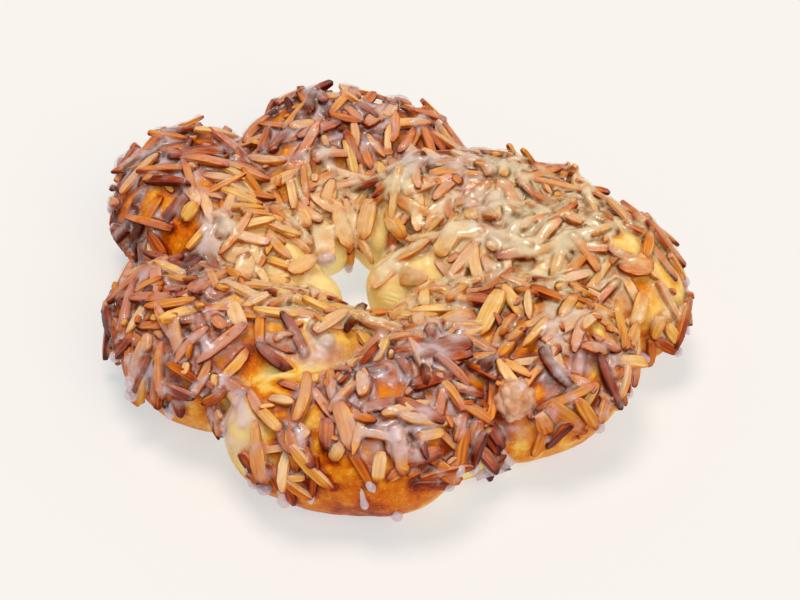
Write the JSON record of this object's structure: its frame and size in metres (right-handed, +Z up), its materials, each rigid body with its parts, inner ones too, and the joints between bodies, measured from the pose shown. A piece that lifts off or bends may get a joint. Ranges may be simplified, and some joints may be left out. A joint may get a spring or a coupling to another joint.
{
  "type": "almond ring pastry",
  "caption": "Round sweet bread ring of rolled dough lobes about a small through hole, baked under slivered almonds; lies flat on its base.",
  "frame": {"origin": "centre of the bounding box at the flat base, on the surface the pastry lies on", "axes": "+Z up, +Y away from the picture's viewer, +X to the viewer's right"},
  "size_m": [0.184, 0.1777, 0.0439],
  "materials": {
    "baked_crust": "baked golden brown crust with almonds and a thin sugar glaze"
  },
  "bodies": {
    "root": {"almond_ring": "baked_crust"}
  },
  "joints": []
}
